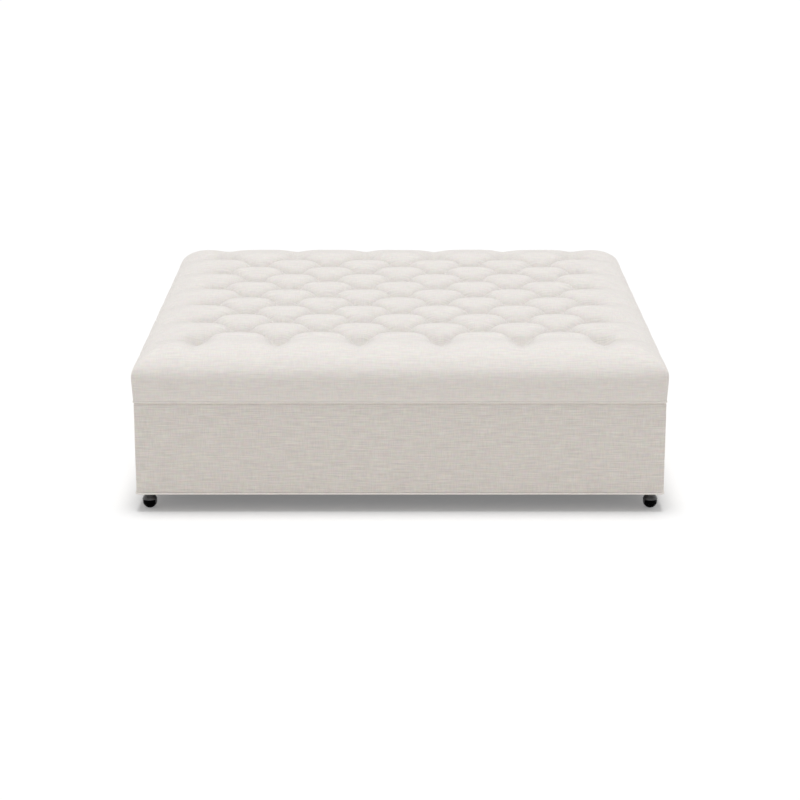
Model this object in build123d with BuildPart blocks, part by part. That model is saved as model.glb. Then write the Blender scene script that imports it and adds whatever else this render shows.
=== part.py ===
from build123d import *
import os
from math import sqrt

os.makedirs("parts", exist_ok=True)

# Overall sizes in millimetres, with the origin on the floor under the middle, the front at -Y
body_width = 1372.0
body_depth = 1372.0
crown_z = 438.0
seam_z = 295.5
hem_z = 49.5

# General clearances
soft_gap = 0.3
fit_gap = 0.05
overrun = 10.0

# Upholstery layers on the straight body
fabric_thickness = 1.5
padding_thickness = 4.4
welt_radius = 2.5
flange_thickness = 1.2
flange_width = 11.0
rail_edge_radius = 1.5

# Tufted top: 6 by 6 tufts with 5 by 5 between them
tuft_columns = 6
tuft_rows = 6
side_margin = 153.5
end_margin = 173.5
tuft_half_width = 7.0
pit_depth = 45.0
crease_depth = 30.0
pleat_depth = 10.0
border_drop = 13.5
border_rise = 3.5
shoulder_width = 75.0
shoulder_height = 80.5
side_bulge = 6.0
quilt_thickness = 12.0
edge_wadding = 25.0
fall_arch = 10.0
pit_round = 1.0

# Timber frame
rail_thickness = 22.0
deck_thickness = 15.0
block_size = 46.0
beam_thickness = 22.0
beam_height = 90.0

# Tuft ties and their washers
tie_radius = 1.5
tie_stitch_depth = 5.0
tie_hole_radius = 5.0
washer_radius = 13.0
washer_thickness = 1.5
knot_radius = 4.0
knot_height = 4.0

# Wood screws
screw_radius = 2.2
screw_head_radius = 4.2
screw_head_height = 2.4
deck_screw_length = 38.0
frame_screw_length = 45.0
plate_screw_length = 18.0
screws_per_rail = 7
screw_end_margin = 70.0
joint_screws = 3
joint_screw_margin = 40.0
screw_stagger = 10.0

# Dust cover and its staples
dust_thickness = 0.8
dust_margin = 20.0
staple_crown = 10.0
staple_wire = 0.8
staple_leg = 8.0
staples_per_side = 12
staple_edge = 6.0

# Hooded ball caster, with its swivel axis at each corner
caster_inset = 31.0
plate_size = 38.0
plate_thickness = 2.0
plate_corner_radius = 4.0
plate_screw_spacing = 26.0
ball_radius = 18.25
wheel_width = 30.4
trail = 7.0
ball_clearance = 0.8
hood_wall = 1.6
hood_rim_z = 25.0
hood_top_radius = 13.0
swivel_gap = 0.3
cheek_gap = 0.4
cheek_thickness = 2.5
cheek_width = 15.0
axle_radius = 2.5
kingpin_radius = 4.0
kingpin_collar_radius = 5.5
kingpin_collar_height = 2.0
kingpin_length = 12.5
kingpin_collar_drop = 7.5

# Place of each beam between the tufts, as a share of their pitch
beam_place_share = 0.75

# Shares for the curves of the top
shoulder_turn_share = sqrt(0.5)
shoulder_rise_share = 0.59
hood_turn_share = 0.92
row_step_shares = (0, 0.25, 0.5, 0.75)
border_fade_shares = (0.12, 0.35, 0.7, 1.2)
pleat_fade_shares = (0.82, 0.36, 0.09, 0.02)

# Sizes that follow
body_radius = rail_edge_radius + padding_thickness + fabric_thickness + 2 * soft_gap
padding_width = body_width - 2 * (fabric_thickness + soft_gap)
padding_depth = body_depth - 2 * (fabric_thickness + soft_gap)
padding_radius = body_radius - fabric_thickness - soft_gap
frame_width = padding_width - 2 * (padding_thickness + soft_gap)
frame_depth = padding_depth - 2 * (padding_thickness + soft_gap)
frame_bottom_z = hem_z + welt_radius
deck_top_z = seam_z - flange_thickness / 2 - soft_gap
rail_top_z = deck_top_z - deck_thickness
rail_height = rail_top_z - frame_bottom_z
inner_width = frame_width - 2 * rail_thickness
inner_depth = frame_depth - 2 * rail_thickness
panel_bottom_z = frame_bottom_z + soft_gap
panel_height = seam_z - welt_radius - soft_gap - panel_bottom_z

cushion_base_z = seam_z + welt_radius + soft_gap
pitch_x = (body_width - 2 * side_margin) / (tuft_columns - 1)
pitch_y = (body_depth - 2 * end_margin) / (tuft_rows - 1)
beam_x = beam_place_share * pitch_x
foam_bottom_z = deck_top_z + soft_gap
foam_top_z = crown_z - pit_depth - quilt_thickness
foam_width = body_width - 2 * edge_wadding
foam_depth = body_depth - 2 * edge_wadding

caster_x = body_width / 2 - caster_inset
caster_y = body_depth / 2 - caster_inset
plate_bottom_z = frame_bottom_z - plate_thickness
hood_top_z = plate_bottom_z - swivel_gap

sides = {"front": -1, "back": 1}
flanks = {"left": -1, "right": 1}
corners = {f"{end}_{flank}": (flanks[flank], sides[end]) for end in sides for flank in flanks}


def tuft_places():
    """Every tuft of the top, in plan: the full grid and the grid between it."""
    full = [(x, y) for x in spread(tuft_columns, pitch_x) for y in spread(tuft_rows, pitch_y)]
    between = [
        (x, y) for x in spread(tuft_columns - 1, pitch_x) for y in spread(tuft_rows - 1, pitch_y)
    ]
    return full + between


def spread(count, pitch):
    """Evenly pitched places centred on zero."""
    return [(index - (count - 1) / 2) * pitch for index in range(count)]


def spread_over(count, length):
    """Evenly spaced places over a length centred on zero."""
    return spread(count, length / (count - 1))


def save(piece, name):
    """Label a finished piece and write it."""
    piece.label = name
    export_step(piece, f"parts/{name}.step")


def edge_band(width, depth, radius, band, side):
    """Front or back band of a rounded rectangle, drawn in the open sketch."""
    RectangleRounded(width, depth, radius)
    with Locations((0, side * (depth - band) / 2)):
        Rectangle(width, band, mode=Mode.INTERSECT)


def edge_wrap(width, depth, radius, thickness, side):
    """Front or back wall of a rounded shell with its corner turns, in the open sketch."""
    RectangleRounded(width, depth, radius)
    RectangleRounded(
        width - 2 * thickness, depth - 2 * thickness, radius - thickness, mode=Mode.SUBTRACT
    )
    with Locations((0, side * (depth - radius) / 2)):
        Rectangle(width, radius, mode=Mode.INTERSECT)


def wood_screw(length, grow=0, mode=Mode.ADD):
    """Countersunk screw with its head's face at the origin and its shank along -Z."""
    down = (Align.CENTER, Align.CENTER, Align.MAX)
    Cylinder(screw_radius + grow, length + grow, align=down, mode=mode)
    Cone(screw_radius + grow, screw_head_radius + grow, screw_head_height, align=down, mode=mode)


# Screw places, each a location whose +Z points out of the wood
def deck_screw_places():
    """Deck screws along the four rails and over the two beams."""
    line_x = frame_width / 2 - rail_thickness / 2
    line_y = frame_depth / 2 - rail_thickness / 2
    along_x = spread_over(screws_per_rail, frame_width - 2 * screw_end_margin)
    along_y = spread_over(screws_per_rail, frame_depth - 2 * screw_end_margin)
    points = [(x, side * line_y) for x in along_x for side in (-1, 1)]
    points += [(side * line_x, y) for y in along_y for side in (-1, 1)]
    points += [(side * beam_x, y) for y in along_y[1:-1:2] for side in (-1, 1)]
    return [Location((x, y, deck_top_z)) for x, y in points]


def joint_heights():
    """Heights of the screws up each corner joint."""
    return [
        frame_bottom_z + rail_height / 2 + rise
        for rise in spread_over(joint_screws, rail_height - 2 * joint_screw_margin)
    ]


def frame_screw_places():
    """Screws through the rails into the corner blocks and the beams' ends."""
    block_x = inner_width / 2 - block_size / 2
    block_y = inner_depth / 2 - block_size / 2
    places = []
    for side in (-1, 1):
        for flank in (-1, 1):
            for index, z in enumerate(joint_heights()):
                step = screw_head_radius * (1 if index % 2 else -1)
                end_point = (flank * (block_x + step), side * frame_depth / 2, z)
                flank_point = (flank * frame_width / 2, side * (block_y - step), z + screw_stagger)
                places.append(Location(end_point, (-side * 90, 0, 0)))
                places.append(Location(flank_point, (0, flank * 90, 0)))
            for rise in (-beam_height / 4, beam_height / 4):
                beam_z = rail_top_z - beam_height / 2 + rise
                end_point = (flank * beam_x, side * frame_depth / 2, beam_z)
                places.append(Location(end_point, (-side * 90, 0, 0)))
    return places


def plate_screw_places():
    """Four screws up through each caster's plate."""
    half = plate_screw_spacing / 2
    return [
        Location((flank * caster_x + dx, side * caster_y + dy, plate_bottom_z), (180, 0, 0))
        for flank, side in corners.values()
        for dx in (-half, half)
        for dy in (-half, half)
    ]


# Staples, each with its crown under the dust cover
def staple_places():
    """Staples along the four edges of the dust cover, clear of the caster plates."""
    reach = caster_x - plate_size - staple_crown
    reach_y = caster_y - plate_size - staple_crown
    line_x = body_width / 2 - dust_margin - staple_edge
    line_y = body_depth / 2 - dust_margin - staple_edge
    z = frame_bottom_z - dust_thickness
    along = [
        Location((x, side * line_y, z))
        for x in spread_over(staples_per_side, 2 * reach)
        for side in (-1, 1)
    ]
    across = [
        Location((side * line_x, y, z), (0, 0, 90))
        for y in spread_over(staples_per_side, 2 * reach_y)
        for side in (-1, 1)
    ]
    return along + across


def staple_legs(grow, mode):
    """The two legs of a staple, driven up from the crown."""
    up = (Align.CENTER, Align.CENTER, Align.MIN)
    with Locations((-staple_crown / 2, 0), (staple_crown / 2, 0)):
        Box(staple_wire + 2 * grow, staple_wire + 2 * grow, staple_leg + grow, align=up, mode=mode)


def within(places, centre, size, reach):
    """The places that lie over a piece's plan, or within a fastener's reach of it."""
    return [
        place
        for place in places
        if abs(place.position.X - centre[0]) < size[0] / 2 + reach
        and abs(place.position.Y - centre[1]) < size[1] / 2 + reach
    ]


def cut_screws(centre, size):
    """Holes of the screws that reach a wooden piece, cut from the open part."""
    for places, length in (
        (deck_screw_places(), deck_screw_length),
        (frame_screw_places(), frame_screw_length),
        (plate_screw_places(), plate_screw_length),
    ):
        near = within(places, centre, size, rail_thickness + screw_head_radius)
        if near:
            with Locations(*near):
                wood_screw(length, fit_gap, Mode.SUBTRACT)


def cut_staples(centre, size):
    """Holes of the staples driven into a wooden piece, cut from the open part."""
    near = within(staple_places(), centre, size, 0)
    if near:
        with Locations(*near):
            staple_legs(fit_gap, Mode.SUBTRACT)


# Timber frame
for name, side in sides.items():
    rail_centre = (0, side * (frame_depth - rail_thickness) / 2)
    rail_plan = (frame_width, rail_thickness)
    with BuildPart() as rail:
        with BuildSketch(Plane.XY.offset(frame_bottom_z)):
            edge_band(frame_width, frame_depth, rail_edge_radius, rail_thickness, side)
        extrude(amount=rail_height)
        cut_screws(rail_centre, rail_plan)
        cut_staples(rail_centre, rail_plan)
    save(rail.part, f"{name}_rail")

for name, side in flanks.items():
    rail_centre = (side * (frame_width - rail_thickness) / 2, 0)
    rail_plan = (rail_thickness, inner_depth)
    with BuildPart() as rail:
        with BuildSketch(Plane.XY.offset(frame_bottom_z)):
            with Locations(rail_centre):
                Rectangle(*rail_plan)
        extrude(amount=rail_height)
        cut_screws(rail_centre, rail_plan)
        cut_staples(rail_centre, rail_plan)
    save(rail.part, f"{name}_rail")

    beam_centre = (side * beam_x, 0)
    beam_plan = (beam_thickness, inner_depth)
    with BuildPart() as beam:
        with BuildSketch(Plane.XY.offset(rail_top_z - beam_height)):
            with Locations(beam_centre):
                Rectangle(*beam_plan)
        extrude(amount=beam_height)
        cut_screws(beam_centre, beam_plan)
    save(beam.part, f"{name}_beam")

for name, (flank, side) in corners.items():
    block_centre = (flank * (inner_width - block_size) / 2, side * (inner_depth - block_size) / 2)
    block_plan = (block_size, block_size)
    with BuildPart() as block:
        with BuildSketch(Plane.XY.offset(frame_bottom_z)):
            with Locations(block_centre):
                Rectangle(*block_plan)
        extrude(amount=rail_height)
        cut_screws(block_centre, block_plan)
    save(block.part, f"corner_block_{name}")

with BuildPart() as deck:
    with BuildSketch(Plane.XY.offset(rail_top_z)):
        RectangleRounded(frame_width, frame_depth, rail_edge_radius)
        with Locations(*tuft_places()):
            Circle(tie_hole_radius, mode=Mode.SUBTRACT)
    extrude(amount=deck_thickness)
    with Locations(*deck_screw_places()):
        wood_screw(deck_screw_length, fit_gap, Mode.SUBTRACT)
save(deck.part, "deck")

with BuildPart() as deck_screws:
    with Locations(*deck_screw_places()):
        wood_screw(deck_screw_length)
save(deck_screws.part, "deck_screws")

with BuildPart() as frame_screws:
    with Locations(*frame_screw_places()):
        wood_screw(frame_screw_length)
save(frame_screws.part, "frame_screws")

# Foam slab with a hole for each tuft's tie
with BuildPart() as foam_slab:
    with BuildSketch(Plane.XY.offset(foam_bottom_z)):
        RectangleRounded(foam_width, foam_depth, body_radius)
        with Locations(*tuft_places()):
            Circle(tie_hole_radius, mode=Mode.SUBTRACT)
    extrude(amount=foam_top_z - foam_bottom_z)
save(foam_slab.part, "foam_slab")

# Ties from the bottom of each tuft to a washer under the deck
with BuildPart() as tuft_ties:
    tie_bottom_z = rail_top_z - washer_thickness
    with BuildSketch(Plane.XY.offset(tie_bottom_z)):
        with Locations(*tuft_places()):
            Circle(tie_radius)
    extrude(amount=foam_top_z + tie_stitch_depth - tie_bottom_z)
    with BuildSketch(Plane.XY.offset(tie_bottom_z - knot_height)):
        with Locations(*tuft_places()):
            Circle(knot_radius)
    extrude(amount=knot_height)
save(tuft_ties.part, "tuft_ties")

with BuildPart() as tuft_washers:
    with BuildSketch(Plane.XY.offset(rail_top_z - washer_thickness)):
        with Locations(*tuft_places()):
            Circle(washer_radius)
            Circle(tie_radius + soft_gap, mode=Mode.SUBTRACT)
    extrude(amount=washer_thickness)
save(tuft_washers.part, "tuft_washers")

# Padding and fabric around the straight body
for name, side in sides.items():
    with BuildPart() as padding:
        with BuildSketch(Plane.XY.offset(panel_bottom_z)):
            edge_wrap(padding_width, padding_depth, padding_radius, padding_thickness, side)
        extrude(amount=panel_height)
    save(padding.part, f"{name}_padding")

    with BuildPart() as panel:
        with BuildSketch(Plane.XY.offset(panel_bottom_z)):
            edge_wrap(body_width, body_depth, body_radius, fabric_thickness, side)
        extrude(amount=panel_height)
    save(panel.part, f"{name}_panel")

for name, side in flanks.items():
    with BuildPart() as padding:
        with BuildSketch(Plane.XY.offset(panel_bottom_z)):
            with Locations((side * (padding_width - padding_thickness) / 2, 0)):
                Rectangle(padding_thickness, body_depth - 2 * body_radius)
        extrude(amount=panel_height)
    save(padding.part, f"{name}_padding")

    with BuildPart() as panel:
        with BuildSketch(Plane.XY.offset(panel_bottom_z)):
            with Locations((side * (body_width - fabric_thickness) / 2, 0)):
                Rectangle(fabric_thickness, body_depth - 2 * body_radius)
        extrude(amount=panel_height)
    save(panel.part, f"{name}_panel")


# Welts: a covered cord with its flange, the front and back ones turning both corners
run_x = body_width / 2 - body_radius
run_y = body_depth / 2 - body_radius
for level, cord_z, flange_z in (
    ("upper", seam_z, seam_z),
    ("lower", hem_z, frame_bottom_z - soft_gap - flange_thickness / 2),
):
    for name, side in sides.items():
        edge_y = side * body_depth / 2
        with BuildPart() as welt:
            with BuildLine(Plane.XY.offset(cord_z)) as route:
                turn_y = side * run_y
                RadiusArc((-body_width / 2, turn_y), (-run_x, edge_y), side * body_radius)
                Line((-run_x, edge_y), (run_x, edge_y))
                RadiusArc((run_x, edge_y), (body_width / 2, turn_y), side * body_radius)
            with BuildSketch(Plane(origin=(-body_width / 2, turn_y, cord_z), z_dir=(0, side, 0))):
                Circle(welt_radius)
            sweep()
            with BuildSketch(Plane.XY.offset(flange_z)):
                with Locations((0, side * (body_depth - flange_width) / 2)):
                    Rectangle(2 * run_x, flange_width)
            extrude(amount=flange_thickness / 2, both=True)
        save(welt.part, f"{level}_welt_{name}")

    for name, side in flanks.items():
        with BuildPart() as welt:
            with BuildSketch(Plane(origin=(side * body_width / 2, -run_y, cord_z), z_dir=(0, 1, 0))):
                Circle(welt_radius)
            extrude(amount=2 * run_y)
            with BuildSketch(Plane.XY.offset(flange_z)):
                with Locations((side * (body_width - flange_width) / 2, 0)):
                    Rectangle(flange_width, body_depth - 2 * (flange_width + soft_gap))
            extrude(amount=flange_thickness / 2, both=True)
        save(welt.part, f"{level}_welt_{name}")

# Dust cover under the frame, notched around the caster plates
notch = dust_margin + plate_size
with BuildPart() as dust_cover:
    with BuildSketch(Plane.XY.offset(frame_bottom_z - dust_thickness)):
        Rectangle(body_width - 2 * dust_margin, body_depth - 2 * notch)
        Rectangle(body_width - 2 * notch, body_depth - 2 * dust_margin)
    extrude(amount=dust_thickness)
    with Locations(*staple_places()):
        staple_legs(fit_gap, Mode.SUBTRACT)
save(dust_cover.part, "dust_cover")

with BuildPart() as staples:
    with Locations(*staple_places()):
        Box(
            staple_crown + staple_wire,
            staple_wire,
            staple_wire,
            align=(Align.CENTER, Align.CENTER, Align.MAX),
        )
        staple_legs(0, Mode.ADD)
save(staples.part, "staples")


# Tufted top: cross-sections through lines and arcs, one for each line across the tufts
def pad_crest(travel):
    """Height of a pad's crown at a share of the way from its middle to its tuft."""
    return crown_z - pit_depth * (1 - sqrt(1 - travel**2))


def crease_z(travel):
    """Height of the diagonal crease at a share of the way from one tuft to the next."""
    return crown_z - crease_depth - (pit_depth - crease_depth) * (2 * travel - 1) ** 2


def edge_side(side, border_z, edge_z, arch):
    """Flank, shoulder and border pad on one side of the section, in the open line."""
    outer_x = body_width / 2
    widest_x = outer_x + side_bulge
    widest_z = crown_z - border_drop - shoulder_height
    shoulder_x = widest_x - shoulder_width
    edge_x = outer_x - side_margin + tuft_half_width
    rim_x = shoulder_x + shoulder_width * shoulder_turn_share
    rim_z = widest_z + (border_z - widest_z) * shoulder_rise_share
    flank_x = outer_x + side_bulge * shoulder_turn_share
    flank_middle = (side * flank_x, (cushion_base_z + widest_z) / 2)
    widest = (side * widest_x, widest_z)
    shoulder = (side * shoulder_x, border_z)
    ThreePointArc((side * outer_x, cushion_base_z), flank_middle, widest)
    ThreePointArc(widest, (side * rim_x, rim_z), shoulder)
    border_middle = (side * (shoulder_x + edge_x) / 2, (border_z + edge_z) / 2 + arch)
    ThreePointArc(shoulder, border_middle, (side * edge_x, edge_z))


def section_outline(travel, valley_z, border_z, edge_z):
    """One upright section of the top, from flank to flank over the pads, in the open line."""
    first_x = -(tuft_columns - 1) * pitch_x / 2
    slide = tuft_half_width + travel * (pitch_x / 2 - 2 * tuft_half_width)
    arch = border_rise + fall_arch * (crown_z - edge_z) / pit_depth
    Line((-body_width / 2, cushion_base_z), (body_width / 2, cushion_base_z))
    for index in range(tuft_columns):
        tuft_x = first_x + index * pitch_x
        left = (tuft_x - slide, valley_z)
        right = (tuft_x + slide, valley_z)
        crown = (tuft_x, pad_crest(1 - travel) if travel > 0 else valley_z - pit_round)
        if index in (0, tuft_columns - 1):
            outward = -1 if index == 0 else 1
            outer = (tuft_x + outward * tuft_half_width, edge_z)
            inner = (tuft_x - outward * slide, valley_z)
            fall = pit_round + fall_arch * (edge_z - valley_z) / pit_depth
            crown = ((outer[0] + inner[0]) / 2, (edge_z + valley_z) / 2 + fall)
            left, right = (outer, inner) if index == 0 else (inner, outer)
            edge_side(outward, border_z, edge_z, arch)
        ThreePointArc(left, crown, right)
        if index < tuft_columns - 1:
            crest_z = pad_crest(travel) if travel < 1 else valley_z - pit_round
            next_left = (tuft_x + pitch_x - slide, valley_z)
            ThreePointArc(right, (tuft_x + pitch_x / 2, crest_z), next_left)


def top_sections():
    """Every section of the top from front to back: its place and its heights."""
    border_top_z = crown_z - border_drop
    field_y = (tuft_rows - 1) * pitch_y / 2
    pleats = []
    for share, fade in zip(border_fade_shares, pleat_fade_shares):
        valley_z = crown_z - pit_depth * fade
        border_z = border_top_z - pleat_depth * fade
        pleats.append((field_y + share * end_margin, 0, valley_z, border_z, valley_z))
    front = [(-y, travel, *heights) for y, travel, *heights in reversed(pleats)]
    field = []
    for step in range(2 * (tuft_rows - 1)):
        for share in row_step_shares:
            travel = share if step % 2 == 0 else 1 - share
            border_z = border_top_z - pleat_depth * (1 - travel) ** 2
            edge_z = crown_z - pit_depth * (1 - travel) ** 3
            y = (step + share) * pitch_y / 2 - field_y
            field.append((y, travel, crease_z(travel), border_z, edge_z))
    field.append((field_y, 0, crease_z(0), border_top_z - pleat_depth, crease_z(0)))
    return front + field + pleats


def end_outline(side):
    """Front or back of the top seen from its flank, in the open line."""
    outer_y = body_depth / 2
    widest_y = outer_y + side_bulge
    widest_z = crown_z - border_drop - shoulder_height
    shoulder_y = widest_y - shoulder_width
    edge_y = outer_y - end_margin + tuft_half_width
    rim_y = shoulder_y + shoulder_width * shoulder_turn_share
    rim_z = widest_z + shoulder_height * shoulder_rise_share
    flank_y = outer_y + side_bulge * shoulder_turn_share
    flank_middle = (side * flank_y, (cushion_base_z + widest_z) / 2)
    widest = (side * widest_y, widest_z)
    shoulder = (side * shoulder_y, widest_z + shoulder_height)
    border_middle = (side * (shoulder_y + edge_y) / 2, crown_z - border_drop / 2 + border_rise)
    ThreePointArc((side * outer_y, cushion_base_z), flank_middle, widest)
    ThreePointArc(widest, (side * rim_y, rim_z), shoulder)
    ThreePointArc(shoulder, border_middle, (side * edge_y, crown_z))
    Line((side * edge_y, crown_z), (0, crown_z + overrun))


with BuildPart() as tufted_top:
    for section_y, *section in top_sections():
        with BuildSketch(Plane.XZ.offset(-section_y)):
            with BuildLine():
                section_outline(*section)
            make_face()
    loft(ruled=True)
    with BuildSketch(Plane.YZ):
        with BuildLine():
            Line((-body_depth / 2, cushion_base_z), (body_depth / 2, cushion_base_z))
            end_outline(-1)
            end_outline(1)
        make_face()
    extrude(amount=body_width, both=True, mode=Mode.INTERSECT)
    with BuildSketch(Plane.XY.offset(cushion_base_z)):
        RectangleRounded(
            foam_width + 2 * soft_gap, foam_depth + 2 * soft_gap, body_radius + soft_gap
        )
    extrude(amount=foam_top_z + soft_gap - cushion_base_z, mode=Mode.SUBTRACT)
    with BuildSketch(Plane.XY.offset(foam_top_z)):
        with Locations(*tuft_places()):
            Circle(tie_radius + soft_gap)
    extrude(amount=tie_stitch_depth + soft_gap, mode=Mode.SUBTRACT)
save(tufted_top.part, "tufted_top")


# Hooded ball casters, made at their own swivel axis and set at the corners
wheel_centre = (0, trail, ball_radius)

with BuildPart() as wheel:
    with Locations(wheel_centre):
        Sphere(ball_radius)
        Box(wheel_width, 2 * ball_radius, 2 * ball_radius, mode=Mode.INTERSECT)
        Cylinder(axle_radius + fit_gap, wheel_width, rotation=(0, 90, 0), mode=Mode.SUBTRACT)

cheek_inner_x = wheel_width / 2 + cheek_gap
cheek_outer_x = cheek_inner_x + cheek_thickness
with BuildPart() as axle:
    with Locations(wheel_centre):
        Cylinder(axle_radius, 2 * cheek_outer_x, rotation=(0, 90, 0))

cavity_radius = ball_radius + ball_clearance
hood_radius = cavity_radius + hood_wall
rim_radius = sqrt(hood_radius**2 - (hood_rim_z - ball_radius) ** 2)
with BuildPart() as hood:
    with BuildSketch(Plane.YZ):
        with BuildLine():
            Line((trail, hood_rim_z), (trail + rim_radius, hood_rim_z))
            ThreePointArc(
                (trail + rim_radius, hood_rim_z),
                (trail + hood_radius * hood_turn_share, (hood_rim_z + hood_top_z) / 2),
                (trail + hood_top_radius, hood_top_z),
            )
            Line((trail + hood_top_radius, hood_top_z), (trail, hood_top_z))
            Line((trail, hood_top_z), (trail, hood_rim_z))
        make_face()
    revolve(axis=Axis((0, trail, 0), (0, 0, 1)))
    with Locations(wheel_centre):
        Sphere(cavity_radius, mode=Mode.SUBTRACT)
    for side in (-1, 1):
        with BuildSketch(Plane.YZ.offset(side * cheek_inner_x)):
            with Locations((trail, ball_radius)):
                Circle(cheek_width / 2)
                cheek_top = hood_rim_z + cheek_thickness - ball_radius
                Rectangle(cheek_width, cheek_top, align=(Align.CENTER, Align.MIN))
                Circle(axle_radius + fit_gap, mode=Mode.SUBTRACT)
        extrude(amount=side * cheek_thickness)
    collar_top_z = frame_bottom_z - kingpin_collar_drop
    bore_bottom_z = frame_bottom_z - kingpin_length - soft_gap
    with BuildSketch(Plane.XY.offset(bore_bottom_z)):
        Circle(kingpin_radius + fit_gap)
    extrude(amount=kingpin_length, mode=Mode.SUBTRACT)
    with BuildSketch(Plane.XY.offset(collar_top_z - kingpin_collar_height - fit_gap)):
        Circle(kingpin_collar_radius + fit_gap)
    extrude(amount=kingpin_collar_height + 2 * fit_gap, mode=Mode.SUBTRACT)

with BuildPart() as kingpin:
    with BuildSketch(Plane.XY.offset(frame_bottom_z - kingpin_length)):
        Circle(kingpin_radius)
    extrude(amount=kingpin_length)
    with BuildSketch(Plane.XY.offset(collar_top_z - kingpin_collar_height)):
        Circle(kingpin_collar_radius)
    extrude(amount=kingpin_collar_height)

with BuildPart() as plate:
    with BuildSketch(Plane.XY.offset(plate_bottom_z)):
        RectangleRounded(plate_size, plate_size, plate_corner_radius)
        Circle(kingpin_radius + fit_gap, mode=Mode.SUBTRACT)
    extrude(amount=plate_thickness)
    half = plate_screw_spacing / 2
    for x, y in ((-half, -half), (-half, half), (half, -half), (half, half)):
        with Locations(Location((x, y, plate_bottom_z), (180, 0, 0))):
            wood_screw(plate_screw_length, fit_gap, Mode.SUBTRACT)

with BuildPart() as caster_screws:
    with Locations(*plate_screw_places()):
        wood_screw(plate_screw_length)
save(caster_screws.part, "caster_screws")

caster_pieces = {
    "caster_plate": plate,
    "kingpin": kingpin,
    "caster_hood": hood,
    "caster_axle": axle,
    "ball_wheel": wheel,
}
for corner, (flank, side) in corners.items():
    for piece_name, piece in caster_pieces.items():
        placed = piece.part.moved(Location((flank * caster_x, side * caster_y, 0)))
        save(placed, f"{piece_name}_{corner}")
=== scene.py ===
import math

import bmesh
import bpy
import numpy as np
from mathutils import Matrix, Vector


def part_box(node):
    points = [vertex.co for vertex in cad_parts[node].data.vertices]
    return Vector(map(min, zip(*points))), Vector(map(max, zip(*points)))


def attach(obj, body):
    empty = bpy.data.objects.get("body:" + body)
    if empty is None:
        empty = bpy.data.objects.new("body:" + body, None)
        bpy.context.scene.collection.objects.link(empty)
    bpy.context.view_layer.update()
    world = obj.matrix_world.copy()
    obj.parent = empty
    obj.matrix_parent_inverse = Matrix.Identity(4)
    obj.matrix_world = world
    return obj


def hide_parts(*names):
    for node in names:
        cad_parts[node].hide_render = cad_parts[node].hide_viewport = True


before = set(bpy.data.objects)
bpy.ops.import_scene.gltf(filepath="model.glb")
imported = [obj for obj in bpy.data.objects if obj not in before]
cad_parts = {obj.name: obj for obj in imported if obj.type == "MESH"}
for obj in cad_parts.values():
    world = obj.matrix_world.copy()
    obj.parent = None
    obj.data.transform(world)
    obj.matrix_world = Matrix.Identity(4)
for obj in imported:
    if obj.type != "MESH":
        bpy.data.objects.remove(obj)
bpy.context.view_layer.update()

scene = bpy.context.scene

# Sizes read from the frame, in metres
top_low, top_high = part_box("tufted_top")
foam_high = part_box("foam_slab")[1]
ties_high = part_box("tuft_ties")[1]
front_low, front_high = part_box("front_panel")
side_low, side_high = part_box("right_panel")
rail_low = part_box("front_rail")[0]
upper_low, upper_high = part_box("upper_welt_front")
lower_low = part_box("lower_welt_front")[0]
dust_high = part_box("dust_cover")[1]

HALF_WIDTH = side_high.x
HALF_DEPTH = -front_low.y
CROWN_Z = top_high.z
BASE_Z = top_low.z
CORD_RADIUS = (upper_high.z - upper_low.z) / 2
SEAM_Z = upper_low.z + CORD_RADIUS
HEM_Z = lower_low.z + CORD_RADIUS
CORNER_RADIUS = HALF_DEPTH - side_high.y
CLOTH = side_high.x - side_low.x

# Tufts: rows and columns at one pitch, and a grid between them
TUFT_LINES = 6
KNOT_RADIUS = 0.004
FIELD_X = ties_high.x - KNOT_RADIUS
FIELD_Y = ties_high.y - KNOT_RADIUS
PITCH_X = 2 * FIELD_X / (TUFT_LINES - 1)
PITCH_Y = 2 * FIELD_Y / (TUFT_LINES - 1)

SIDES = {"front": (0, -1), "right": (1, 0), "back": (0, 1), "left": (-1, 0)}


# Meshes
def new_piece(name, points, faces, cloth=None):
    """A smooth mesh piece. cloth gives each face corner its place on the cloth, in metres."""
    mesh = bpy.data.meshes.new(name)
    mesh.from_pydata(np.asarray(points, float).tolist(), [], faces)
    mesh.update()
    if cloth is not None:
        layer = mesh.uv_layers.new(name="cloth")
        layer.uv.foreach_set("vector", np.asarray(cloth, float).ravel())
    mesh.polygons.foreach_set("use_smooth", [True] * len(mesh.polygons))
    piece = bpy.data.objects.new(name, mesh)
    scene.collection.objects.link(piece)
    return piece


def get_points(mesh):
    points = np.empty(len(mesh.vertices) * 3)
    mesh.vertices.foreach_get("co", points)
    return points.reshape(-1, 3)


def get_normals(mesh):
    normals = np.empty(len(mesh.vertices) * 3)
    mesh.vertices.foreach_get("normal", normals)
    return normals.reshape(-1, 3)


def set_points(mesh, points):
    mesh.vertices.foreach_set("co", points.ravel())
    mesh.update()


def as_shown(piece):
    """A copy of the piece's mesh with its modifiers worked in."""
    return bpy.data.meshes.new_from_object(piece.evaluated_get(bpy.context.evaluated_depsgraph_get()))


def smooth_once(piece):
    """One round of subdivision, worked into the mesh."""
    rounder = piece.modifiers.new("rounder", "SUBSURF")
    rounder.levels = 1
    finer = as_shown(piece)
    piece.modifiers.clear()
    piece.data = finer


def wander(along, across, reach, seed):
    """Smooth unevenness between -1 and 1 over a cloth, from a few crossing waves."""
    draw = np.random.default_rng(seed)
    waves = 7
    total = np.zeros_like(along)
    for _ in range(waves):
        turn = draw.uniform(0, 2 * math.pi)
        wave_length = reach * draw.uniform(0.7, 1.7)
        phase = draw.uniform(0, 2 * math.pi)
        travel = along * math.cos(turn) + across * math.sin(turn)
        total += np.sin(2 * math.pi * travel / wave_length + phase)
    return total / math.sqrt(waves) / 1.5


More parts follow.
